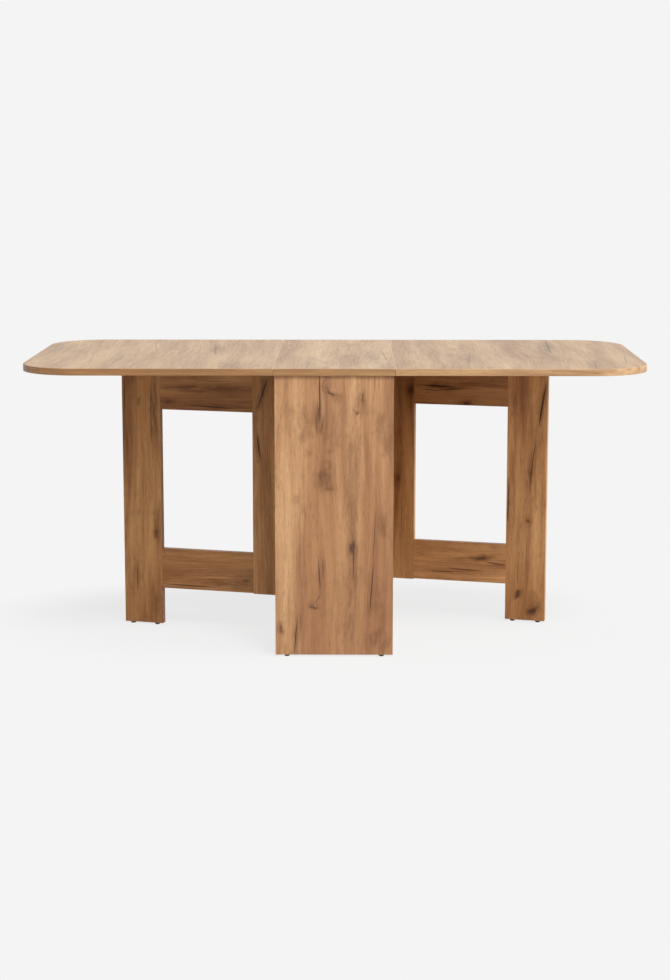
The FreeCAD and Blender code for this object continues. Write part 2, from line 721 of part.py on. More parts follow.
# ---- gates, drawn folded with the hinge axis at the origin -------------------------------------
def gate(side):
    """A gate: leg, stile, two rails, their dowels, glides and the hinge flaps on the stile."""
    name = side + "_gate_"
    face = ("-(gateFace)", "-gateSideGap")
    bottom = ("bottomRailBottom", "bottomRailBottom + railHeight")
    top = ("topRailTop - railHeight", "topRailTop")
    joint_heights = ["%s + railHeight / 2 %s dowelPitch / 2" % (low, sign)
                     for low, sign in product((bottom[0], top[0]), "+-")]
    halfway = "dowelLength / 2"
    middle = "-(gateMiddle)"

    def dowel_spots(y):
        return [(middle, "(%s) - %s" % (y, halfway), z) for z in joint_heights]

    depth = "dowelLength + dowelFit"
    leg_board = slab(name + "leg_board", *face, "legStart", "gateEnd", "glideHeight", "gateTop")
    tools = holes(name + "leg_dowel", dowel_spots("legStart"), "+y", "dowelHole", depth)
    nail_spots = [(middle, y, "glideHeight") for y in ("legStart + legGlideInset", "gateEnd - legGlideInset")]
    tools += holes(name + "leg_nail", nail_spots, "+z", "nailHole", "nailLength + screwFit")
    finish_gate(name + "leg", cut(name + "leg", leg_board, tools), side)

    stile_board = slab(name + "stile_board", *face, "knuckleRadius", "railStart", "stileBottom", "gateTop")
    tools = holes(name + "stile_dowel", dowel_spots("railStart"), "+y", "dowelHole", depth)
    screw_spots = [("-(gateFlapMiddle)", "knuckleRadius - plateThick", "%s + %s" % (z, dz))
                   for z, dz in product(gate_hinge_z, screw_y)]
    tools += holes(name + "stile_pilot", screw_spots, "+y", "screwHole", "edgeScrewLength + screwFit")
    finish_gate(name + "stile", cut(name + "stile", stile_board, tools), side)

    for label, span in (("bottom_rail", bottom), ("top_rail", top)):
        board = slab(name + label + "_board", *face, "railStart", "legStart", *span)
        tools = []
        for end, y in (("near", "railStart"), ("far", "legStart")):
            tools += holes("%s%s_%s" % (name, label, end), dowel_spots(y), "+y", "dowelHole", depth)
        finish_gate(name + label, cut(name + label, board, tools), side)

    pegs = holes(name + "peg_near", dowel_spots("railStart"), "+y", "dowelDiameter / 2", "dowelLength")
    pegs += holes(name + "peg_far", dowel_spots("legStart"), "+y", "dowelDiameter / 2", "dowelLength")
    finish_gate(name + "dowels", group(name + "dowels", pegs), side)

    spots = [(x, y, "0") for x, y, z in nail_spots]
    finish_gate(name + "glides", group(name + "glides", copies(name + "glide", nail_glide, spots, "+z")), side)
    spots = [("0", "0", z) for z in gate_hinge_z]
    flaps = copies(name + "flap", gate_flap, spots, "+y")
    finish_gate(name + "hinge_plates", group(name + "hinge_plates", flaps), side)
    screws = copies(name + "hinge_screw", edge_screw, screw_spots, "+y")
    finish_gate(name + "hinge_screws", group(name + "hinge_screws", screws), side)


for side in ("left", "right"):
    hinge_board(side)
    leaf_hinges(side)
    gate_post_hinges(side)
    leaf(side)
    gate(side)

doc.recompute()

# ---- checks and files -------------------------------------------------------------------------
for thing in doc.Objects:
    if "Invalid" in thing.State or "Error" in thing.State:
        raise RuntimeError("%s did not build: %s" % (thing.Label, thing.State))
for node in nodes:
    if node.Shape.isNull() or not node.Shape.isValid():
        raise RuntimeError("%s has no valid shape" % node.Label)

os.makedirs("parts", exist_ok=True)
for node in nodes:
    node.Shape.exportStep("parts/%s.step" % node.Label)
print("%d sub-parts written" % len(nodes))
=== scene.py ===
import json
import math
import bpy
from mathutils import Matrix, Vector


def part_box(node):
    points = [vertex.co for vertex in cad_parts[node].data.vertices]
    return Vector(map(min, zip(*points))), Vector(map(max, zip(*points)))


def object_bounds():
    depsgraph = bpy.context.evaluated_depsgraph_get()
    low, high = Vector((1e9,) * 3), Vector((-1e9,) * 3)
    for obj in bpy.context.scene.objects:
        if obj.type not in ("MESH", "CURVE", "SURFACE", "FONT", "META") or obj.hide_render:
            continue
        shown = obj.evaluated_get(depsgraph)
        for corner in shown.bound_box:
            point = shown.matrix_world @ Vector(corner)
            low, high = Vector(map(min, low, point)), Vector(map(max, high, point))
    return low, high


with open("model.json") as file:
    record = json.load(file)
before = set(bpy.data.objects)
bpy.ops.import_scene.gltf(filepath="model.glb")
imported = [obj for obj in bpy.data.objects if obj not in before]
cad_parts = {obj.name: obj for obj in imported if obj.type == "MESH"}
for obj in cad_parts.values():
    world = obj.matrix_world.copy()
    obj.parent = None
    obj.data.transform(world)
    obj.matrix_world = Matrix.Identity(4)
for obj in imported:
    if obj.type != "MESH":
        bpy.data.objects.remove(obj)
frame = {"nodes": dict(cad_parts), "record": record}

cadLow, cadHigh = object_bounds()
record = frame["record"]
print("frame loaded,", len(frame["nodes"]), "nodes")

# camera, about eye height and a little to the right of the middle
camera = {
    "place": (0.0560, -5.6182, 1.3256),
    "lookDown": 9.577,
    "turn": 0.5895,
    "lens": 75.05,
    "sensor": 36.0,
    "farthest": 60.0,
}

# a pale room, brighter on the right, with a high soft sun from the front and a weak one from the right
light = {
    "roomLeft": 0.28,
    "roomRight": 0.58,
    "roomColour": (0.905, 0.905, 0.905),
    "keyFrom": (1.3, -2.9, 4.9),
    "keyPower": 2.6,
    "keySpread": 22.0,
    "fillFrom": (4.4, -1.6, 2.2),
    "fillPower": 2.0,
    "fillSpread": 45.0,
}

floor = {
    "half": 30.0,
    "colour": (0.905, 0.905, 0.905),
    "lit": (0.67, 0.67, 0.67),  # shows about as bright as the room where no shade falls
    "bounce": (0.50, 0.42, 0.33),  # what the floor throws back on the table
    "shadeShare": 0.15,  # how much of the real shade is seen on the floor
    "shadeReach": (0.92, 0.56),
    "shadeEdge": (0.75, 1.25),
}


# a colour given as 0 to 255 screen values, in the linear values that sockets take
def srgb(red, green, blue):
    out = []
    for value in (red, green, blue):
        value = value / 255.0
        out.append(value / 12.92 if value <= 0.04045 else ((value + 0.055) / 1.055) ** 2.4)
    return (*out, 1.0)


def addCamera():
    data = bpy.data.cameras.new("camera")
    data.lens = camera["lens"]
    data.sensor_width = camera["sensor"]
    data.dof.use_dof = False
    data.clip_end = camera["farthest"]
    thing = bpy.data.objects.new("camera", data)
    bpy.context.scene.collection.objects.link(thing)
    thing.location = camera["place"]
    thing.rotation_euler = (math.radians(90 - camera["lookDown"]), 0.0, math.radians(camera["turn"]))
    bpy.context.scene.camera = thing


def addSun(name, comesFrom, power, spread):
    data = bpy.data.lights.new(name, "SUN")
    data.energy = power
    data.angle = math.radians(spread)
    thing = bpy.data.objects.new(name, data)
    bpy.context.scene.collection.objects.link(thing)
    thing.location = comesFrom
    thing.rotation_euler = (-Vector(comesFrom)).to_track_quat("-Z", "Y").to_euler()


def add(tree, kind, **settings):
    thing = tree.nodes.new(kind)
    for name, value in settings.items():
        setattr(thing, name, value)
    return thing


def feed(tree, socket, value):
    if isinstance(value, bpy.types.NodeSocket):
        tree.links.new(value, socket)
    else:
        socket.default_value = value


def maths(tree, operation, first, second=0.0, clamp=False):
    thing = add(tree, "ShaderNodeMath", operation=operation, use_clamp=clamp)
    for socket, value in zip(thing.inputs, (first, second)):
        feed(tree, socket, value)
    return thing.outputs[0]


def times(tree, first, second):
    return maths(tree, "MULTIPLY", first, second)


def minus(tree, first, second):
    return maths(tree, "SUBTRACT", first, second)


def chain(tree, operation, values):
    result = values[0]
    for value in values[1:]:
        result = maths(tree, operation, result, value)
    return result


def plus(tree, *values):
    return chain(tree, "ADD", values)


def strongest(tree, values):
    return chain(tree, "MAXIMUM", values)


# map a value from one span to another, held at both ends
def ramp(tree, value, low, high, outLow=0.0, outHigh=1.0, kind="SMOOTHSTEP"):
    thing = add(tree, "ShaderNodeMapRange", interpolation_type=kind, clamp=True)
    for socket, given in zip(thing.inputs, (value, low, high, outLow, outHigh)):
        feed(tree, socket, given)
    return thing.outputs[0]


def mixColour(tree, factor, first, second, blend="MIX"):
    thing = add(tree, "ShaderNodeMix", data_type="RGBA", blend_type=blend, clamp_factor=True)
    feed(tree, thing.inputs[0], factor)
    feed(tree, thing.inputs[6], first)
    feed(tree, thing.inputs[7], second)
    return thing.outputs[2]


def noise(tree, vector, scale=1.0, detail=2.0, roughness=0.5):
    thing = add(tree, "ShaderNodeTexNoise", noise_dimensions="3D")
    feed(tree, thing.inputs["Vector"], vector)
    feed(tree, thing.inputs["Scale"], scale)
    feed(tree, thing.inputs["Detail"], detail)
    feed(tree, thing.inputs["Roughness"], roughness)
    return thing.outputs[0]


# the vector with each axis scaled by itself, then moved
def stretched(tree, vector, scales, offset=(0.0, 0.0, 0.0)):
    thing = add(tree, "ShaderNodeMapping", vector_type="POINT")
    feed(tree, thing.inputs["Vector"], vector)
    feed(tree, thing.inputs["Scale"], scales)
    feed(tree, thing.inputs["Location"], offset)
    return thing.outputs[0]


def combine(tree, x, y, z):
    thing = add(tree, "ShaderNodeCombineXYZ")
    for socket, value in zip(thing.inputs, (x, y, z)):
        feed(tree, socket, value)
    return thing.outputs[0]


def split(tree, vector):
    thing = add(tree, "ShaderNodeSeparateXYZ")
    feed(tree, thing.inputs[0], vector)
    return thing.outputs


def lengthOf(tree, vector):
    thing = add(tree, "ShaderNodeVectorMath", operation="LENGTH")
    tree.links.new(vector, thing.inputs[0])
    return thing.outputs["Value"]


def addBump(tree, shader, height, strength, depth):
    thing = add(tree, "ShaderNodeBump")
    thing.inputs["Strength"].default_value = strength
    thing.inputs["Distance"].default_value = depth
    tree.links.new(height, thing.inputs["Height"])
    tree.links.new(thing.outputs[0], shader.inputs["Normal"])


# an empty shader tree on a material or a world
def emptyTree(owner):
    owner.use_nodes = True
    owner.node_tree.nodes.clear()
    return owner.node_tree


def newMaterial(name):
    material = bpy.data.materials.new(name)
    tree = emptyTree(material)
    shader = add(tree, "ShaderNodeBsdfPrincipled")
    out = add(tree, "ShaderNodeOutputMaterial")
    tree.links.new(shader.outputs[0], out.inputs[0])
    return material, tree, shader


def dress(nodeName, material):
    data = frame["nodes"][nodeName].data
    data.materials.clear()
    data.materials.append(material)


# the print's colours and finish. Edge bands get painted shade on the left, painted light on the right and a
# painted highlight on top at the leaf joints
oak = {
    "pale": srgb(210, 168, 124),
    "straw": srgb(194, 150, 108),
    "tan": srgb(172, 127, 90),
    "brown": srgb(140, 98, 68),
    "red": srgb(160, 110, 72),
    "knot": srgb(80, 52, 34),
    "crack": srgb(66, 44, 30),
    "haze": srgb(122, 82, 52),
    "seamHighlight": srgb(214, 184, 150),
    "stops": (0.37, 0.45, 0.525, 0.61),
    "haloDark": 0.60,
    "coreDark": 0.88,
    "poreDark": 0.40,
    "lineDark": 0.75,
    "smokeLow": 0.25,
    # painted shade on boards: where it turns along the board, and how much warmer its darker parts are
    # drawn
    "halfWay": 0.45,
    "shadeWarmth": (1.25, 1.5),
    "seedStep": (3.1, 1.7, 5.3),
    "roughness": (0.34, 0.46),
    "bump": 0.35,
    "bumpDepth": 0.00025,
    # painted light on the edge bands, shaded on the left and lit on the right, then a painted highlight at
    # the leaf joints
    "bandPaintedShadeLeft": (0.66, 0.61, 0.48, 1.0),
    "bandPaintedShadeMiddle": (0.70, 0.67, 0.57, 1.0),
    "bandPaintedLightRight": (1.20, 1.38, 1.48, 1.0),
    "seamReach": (0.0028, 0.0018),
    "seamDepth": (0.003, 0.001),
    "seamShare": 0.6,
}

# how each kind of board differs: knots and cracks scattered over it or not, and shares of each layer. Its
# tone is painted light: the tops are drawn darker and greyer to offset their stronger light and sheen, and
# the gates warmer as painted warm shade
prints = {
    "hidden": {
        "contrast": 1.05, "streak": 0.38, "fine": 0.26, "wave": 1.0, "red": 0.50, "clouds": 0.42,
        "scattered": True, "paintedLightTone": (1.0, 1.0, 1.0, 1.0), "gloss": 0.5,
    },
    "front": {
        "contrast": 1.00, "streak": 0.28, "fine": 0.20, "wave": 1.4, "red": 0.50, "clouds": 0.62,
        "scattered": False, "paintedLightTone": (1.0, 1.0, 1.0, 1.0), "gloss": 0.5,
    },
    "top": {
        "contrast": 0.60, "streak": 0.30, "fine": 0.12, "wave": 0.4, "red": 0.45, "clouds": 0.46,
        "scattered": False, "paintedLightTone": (0.80, 0.91, 0.93, 1.0), "gloss": 0.5,
    },
    "gate": {
        "contrast": 1.00, "streak": 0.42, "fine": 0.28, "wave": 1.0, "red": 0.50, "clouds": 0.42,
        "scattered": False, "paintedLightTone": (1.0, 0.92, 0.78, 1.0), "gloss": 0.25,
    },
    "band": {
        "contrast": 0.90, "streak": 0.40, "fine": 0.24, "wave": 1.0, "red": 0.0, "clouds": 0.0,
        "scattered": False, "paintedLightTone": (1.0, 1.0, 1.0, 1.0), "gloss": 0.5,
    },
}

# each layer of the print: how fine across and along the grain, per metre, its shift, detail and roughness
layers = {
    "bend": (2.6, 1.1, 0.0, 2.0, 0.5),
    "wobble": (12.0, 4.0, 0.0, 2.0, 0.5),
    "ragged": (60.0, 26.0, 0.0, 3.0, 0.6),
    "drift": (34.0, 40.0, 7.0, 3.0, 0.5),
    "broad": (15.0, 1.3, 0.0, 4.0, 0.6),
    "streak": (85.0, 4.0, 0.0, 4.0, 0.65),
    "fine": (360.0, 11.0, 0.0, 3.0, 0.6),
    "pore": (800.0, 38.0, 0.0, 1.0, 0.5),
    "patch": (10.0, 5.0, 0.0, 5.0, 0.75),
    "warm": (8.0, 0.7, 3.0, 2.0, 0.5),
    "smoke": (110.0, 16.0, 0.0, 4.0, 0.7),
    "ridge": (9.0, 0.7, 4.0, 1.5, 0.5),
    "held": (3.0, 4.5, 9.0, 2.0, 0.5),
}

# where each feature starts and where it is full, in its layer or in half sizes of a mark
spans = {
    "red": (0.50, 0.70),
    "clouds": (0.50, 0.72),
    "fine": (0.65, 0.35),
    "polish": (0.3, 0.7),
    "pore": (0.63, 0.70),
    "smoke": (0.34, 0.60),
    "held": (0.56, 0.66),
    "line": (0.010, 0.002),
    "knotCore": (1.45, 0.45),
    "knotHalo": (3.2, 0.6),
    "smudge": (1.3, 0.2),
    "crack": (1.1, 0.45),
}

# how far the print strays, in metres: cracks, the rims of marks and the grain
stray = {
    "crackBend": 0.014,
    "crackWobble": 0.009,
    "markAcross": 0.020,
    "markAlong": 0.050,
    "grainBend": 0.09,
    "grainWobble": 0.014,
    "knotPull": 0.85,
}

# a grid of cells over a board, some of which hold a knot
cells = {
    "across": 4.4,
    "along": 2.0,
    "randomness": 0.85,
    "chance": (0.52, 0.56),
    "size": (0.045, 0.11),
    "core": (1.0, 0.25),
    "halo": (3.6, 0.6),
    "seedStep": 7.7,
}

# how much each feature stands out of the face
relief = {"fine": 0.6, "pore": -0.8, "crack": -1.2, "core": -0.5}


def layer(tree, vector, name):
    across, along, shift, detail, roughness = layers[name]
    placed = stretched(tree, vector, (across, across, along), (shift, shift, shift))
    return noise(tree, placed, detail=detail, roughness=roughness)


def feature(tree, value, name, amount=1.0):
    start, full = spans[name]
    return ramp(tree, value, start, full, 0.0, amount)


# object coordinates turned so that X runs across the board and Z along its grain, from a corner
def boardSpace(tree, across, grain, origin):
    turn = Matrix((across, grain.cross(across), grain))
    coordinates = add(tree, "ShaderNodeTexCoord")
    thing = add(tree, "ShaderNodeMapping", vector_type="POINT")
    tree.links.new(coordinates.outputs["Object"], thing.inputs["Vector"])
    thing.inputs["Rotation"].default_value = turn.to_euler("XYZ")
    thing.inputs["Location"].default_value = -(turn @ Vector(origin))
    return thing.outputs[0]


# scattered knots: how dark the core is, how strong the halo is, and the pull on the grain
def cellKnots(tree, moved, seed):
    x, _, z = split(tree, moved)
    gridX, gridZ = times(tree, x, cells["across"]), times(tree, z, cells["along"])
    grid = add(tree, "ShaderNodeTexVoronoi", voronoi_dimensions="3D", feature="F1", distance="EUCLIDEAN")
    tree.links.new(combine(tree, gridX, seed * cells["seedStep"], gridZ), grid.inputs["Vector"])
    grid.inputs["Scale"].default_value = 1.0
    grid.inputs["Randomness"].default_value = cells["randomness"]
    chance = split(tree, grid.outputs["Color"])
    has = ramp(tree, chance[0], *cells["chance"], kind="LINEAR")
    size = ramp(tree, chance[1], 0.0, 1.0, *cells["size"], kind="LINEAR")
    centre = split(tree, grid.outputs["Position"])
    awayX, awayZ = minus(tree, gridX, centre[0]), minus(tree, gridZ, centre[2])
    distance = lengthOf(tree, combine(tree, awayX, 0.0, awayZ))
    masks = []
    for part in ("core", "halo"):
        rim, middle = (times(tree, size, share) for share in cells[part])
        masks.append(times(tree, has, ramp(tree, distance, rim, middle)))
    core, halo = masks
    return core, halo, times(tree, awayX, times(tree, halo, 1.0 / cells["across"]))


# how far a point is from a mark, in the mark's own half sizes
def markDistance(tree, flat, mark):
    across, along, halfWide, halfLong, lean = mark[:5]
    thing = add(tree, "ShaderNodeMapping", vector_type="TEXTURE")
    feed(tree, thing.inputs["Vector"], flat)
    thing.inputs["Location"].default_value = (across, 0.0, along)
    thing.inputs["Rotation"].default_value = (0.0, math.radians(lean), 0.0)
    thing.inputs["Scale"].default_value = (halfWide, 1.0, halfLong)
    return lengthOf(tree, thing.outputs[0])


# every knot of a board: the cores, the halos and the pull on the grain
def knotMasks(tree, x, rough, moved, seed, knots, scattered):
    cores, halos, pulls = [0.0], [0.0], [0.0]
    if scattered:
        for masks, mask in zip((cores, halos, pulls), cellKnots(tree, moved, seed)):
            masks.append(mask)
    for knot in knots:
        distance = markDistance(tree, rough, knot)
        halo = feature(tree, distance, "knotHalo", knot[5])
        cores.append(feature(tree, distance, "knotCore", knot[5]))
        halos.append(halo)
        pulls.append(times(tree, minus(tree, x, knot[0]), halo))
    return strongest(tree, cores), strongest(tree, halos), plus(tree, *pulls)


def crackMask(tree, calm, moved, flow, cracks, scattered):
    lines = [0.0]
    if scattered:
        ridge = maths(tree, "ABSOLUTE", minus(tree, layer(tree, flow, "ridge"), 0.5))
        held = feature(tree, layer(tree, moved, "held"), "held", oak["lineDark"])
        lines.append(times(tree, feature(tree, ridge, "line"), held))
    for crack in cracks:
        lines.append(feature(tree, markDistance(tree, calm, crack), "crack", crack[5]))
    return strongest(tree, lines)


# broad bands and streaks of the grain, with red and cloudy zones
def grainColour(tree, moved, flow, look):
    broad, streak = layer(tree, flow, "broad"), layer(tree, flow, "streak")
    level = plus(tree, times(tree, broad, 1.0 - look["streak"]), times(tree, streak, look["streak"]))
    level = plus(tree, times(tree, minus(tree, level, 0.5), look["contrast"]), 0.5)
    colours = add(tree, "ShaderNodeValToRGB")
    tree.links.new(level, colours.inputs[0])
    stops = colours.color_ramp.elements
    first, second, third, last = oak["stops"]
    stops[0].position, stops[0].color = first, oak["brown"]
    stops[1].position, stops[1].color = last, oak["pale"]
    stops.new(second).color = oak["tan"]
    stops.new(third).color = oak["straw"]
    red = feature(tree, layer(tree, flow, "warm"), "red", look["red"])
    colour = mixColour(tree, red, colours.outputs[0], oak["red"])
    cloud = feature(tree, layer(tree, moved, "patch"), "clouds", look["clouds"])
    return mixColour(tree, cloud, colour, oak["haze"])


# smoky stains, broken up along the grain
def stained(tree, colour, rough, flow, smudges):
    smoke = ramp(tree, layer(tree, flow, "smoke"), *spans["smoke"], oak["smokeLow"], 1.0)
    for smudge in smudges:
        cloud = feature(tree, markDistance(tree, rough, smudge), "smudge", smudge[5])
        colour = mixColour(tree, times(tree, cloud, smoke), colour, oak["haze"])
    return colour


# painted light and shade: a board drawn darker or paler at its foot, middle and head, to stand in for how
# the light falls on it, as on the gates in the leaves' shadow. Where darker it is also warmer, as painted
# warm shade
def paintedShading(tree, colour, z, low, middle, high, tall):
    halfWay = oak["halfWay"] * tall
    lower = ramp(tree, z, 0.0, halfWay, low, middle)
    upper = ramp(tree, z, halfWay, tall, 1.0, high / middle)
    shade = times(tree, lower, upper)
    green, blue = (maths(tree, "POWER", shade, power) for power in oak["shadeWarmth"])
    return mixColour(tree, 1.0, colour, combine(tree, shade, green, blue), blend="MULTIPLY")


# paint light on an edge band: painted shade on the left and painted light on the right, and a painted
# highlight on its top where the leaves meet the middle
def paintedBandLight(tree, colour):
    alongTable, _, height = split(tree, add(tree, "ShaderNodeTexCoord").outputs["Object"])
    tint = mixColour(tree, ramp(tree, alongTable, cadLow.x, 0.0), oak["bandPaintedShadeLeft"], oak["bandPaintedShadeMiddle"])
    litRightShare = ramp(tree, alongTable, 0.0, cadHigh.x, kind="LINEAR")
    tint = mixColour(tree, litRightShare, tint, oak["bandPaintedLightRight"])
    colour = mixColour(tree, 1.0, colour, tint, blend="MULTIPLY")
    # painted highlight: a pale line on the band's top at the leaf joints, where the rounded edges catch the
    # light
    joint = (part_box("center_top_edge_band")[1].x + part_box("right_leaf_edge_band")[0].x) / 2
    gap = maths(tree, "ABSOLUTE", minus(tree, maths(tree, "ABSOLUTE", alongTable), joint))
    below, above = (cadHigh.z - depth for depth in oak["seamDepth"])
    atJoint, atTop = ramp(tree, gap, *oak["seamReach"]), ramp(tree, height, below, above)
    paintedSeamHighlight = times(tree, times(tree, atJoint, atTop), oak["seamShare"])
    return mixColour(tree, paintedSeamHighlight, colour, oak["seamHighlight"])


# one board's whole print. The marks are in metres from the board's corner
def oakMaterial(name, across, grain, origin, seed, kind, marks):
    look = prints[kind]
    material, tree, shader = newMaterial(name)
    space = boardSpace(tree, across, grain, origin)
    moved = stretched(tree, space, (1.0, 1.0, 1.0), tuple(seed * step for step in oak["seedStep"]))
    x, _, z = split(tree, space)
    bend, wobble, ragged, drift = (
        minus(tree, layer(tree, moved, part), 0.5) for part in ("bend", "wobble", "ragged", "drift")
    )
    # cracks follow slow bends, and the other marks have ragged rims
    wander = plus(tree, times(tree, bend, stray["crackBend"]), times(tree, wobble, stray["crackWobble"]))
    calm = combine(tree, plus(tree, x, wander), 0.0, z)
    roughX = plus(tree, x, times(tree, ragged, stray["markAcross"]))
    roughZ = plus(tree, z, times(tree, drift, stray["markAlong"]))
    rough = combine(tree, roughX, 0.0, roughZ)
    core, halo, pull = knotMasks(tree, x, rough, moved, seed, marks["knots"], look["scattered"])
    # the grain bends, and is drawn round the knots
    movedX, movedY, movedZ = split(tree, moved)
    bent = times(tree, bend, stray["grainBend"])
    waved = times(tree, wobble, stray["grainWobble"] * look["wave"])
    drawn = times(tree, pull, -stray["knotPull"])
    flow = combine(tree, plus(tree, movedX, bent, waved, drawn), movedY, movedZ)
    fine, pore = layer(tree, flow, "fine"), layer(tree, flow, "pore")
    colour = grainColour(tree, moved, flow, look)
    colour = mixColour(tree, feature(tree, fine, "fine", look["fine"]), colour, oak["brown"])
    colour = mixColour(tree, feature(tree, pore, "pore", oak["poreDark"]), colour, oak["knot"])
    colour = stained(tree, colour, rough, flow, marks["smudges"])
    colour = mixColour(tree, times(tree, halo, oak["haloDark"]), colour, oak["haze"])
    colour = mixColour(tree, times(tree, core, oak["coreDark"]), colour, oak["knot"])
    crack = crackMask(tree, calm, moved, flow, marks["cracks"], look["scattered"])
    colour = mixColour(tree, crack, colour, oak["crack"])
    # painted light: each kind's tone, darker and greyer on the tops, warmer on the gates in their shade
    colour = mixColour(tree, 1.0, colour, look["paintedLightTone"], blend="MULTIPLY")
    # painted light and shade along the board
    if "shade" in marks:
        colour = paintedShading(tree, colour, z, *marks["shade"])
    # edge bands: painted light from left to right and a painted highlight at the joints
    if kind == "band":
        colour = paintedBandLight(tree, colour)
    tree.links.new(colour, shader.inputs["Base Color"])
    smooth, dull = oak["roughness"]
    tree.links.new(ramp(tree, fine, *spans["polish"], dull, smooth), shader.inputs["Roughness"])
    shader.inputs["Specular IOR Level"].default_value = look["gloss"]
    parts = {"fine": fine, "pore": feature(tree, pore, "pore"), "crack": crack, "core": core}
    height = plus(tree, *(times(tree, value, relief[part]) for part, value in parts.items()))
    addBump(tree, shader, height, oak["bump"], oak["bumpDepth"])
    return material
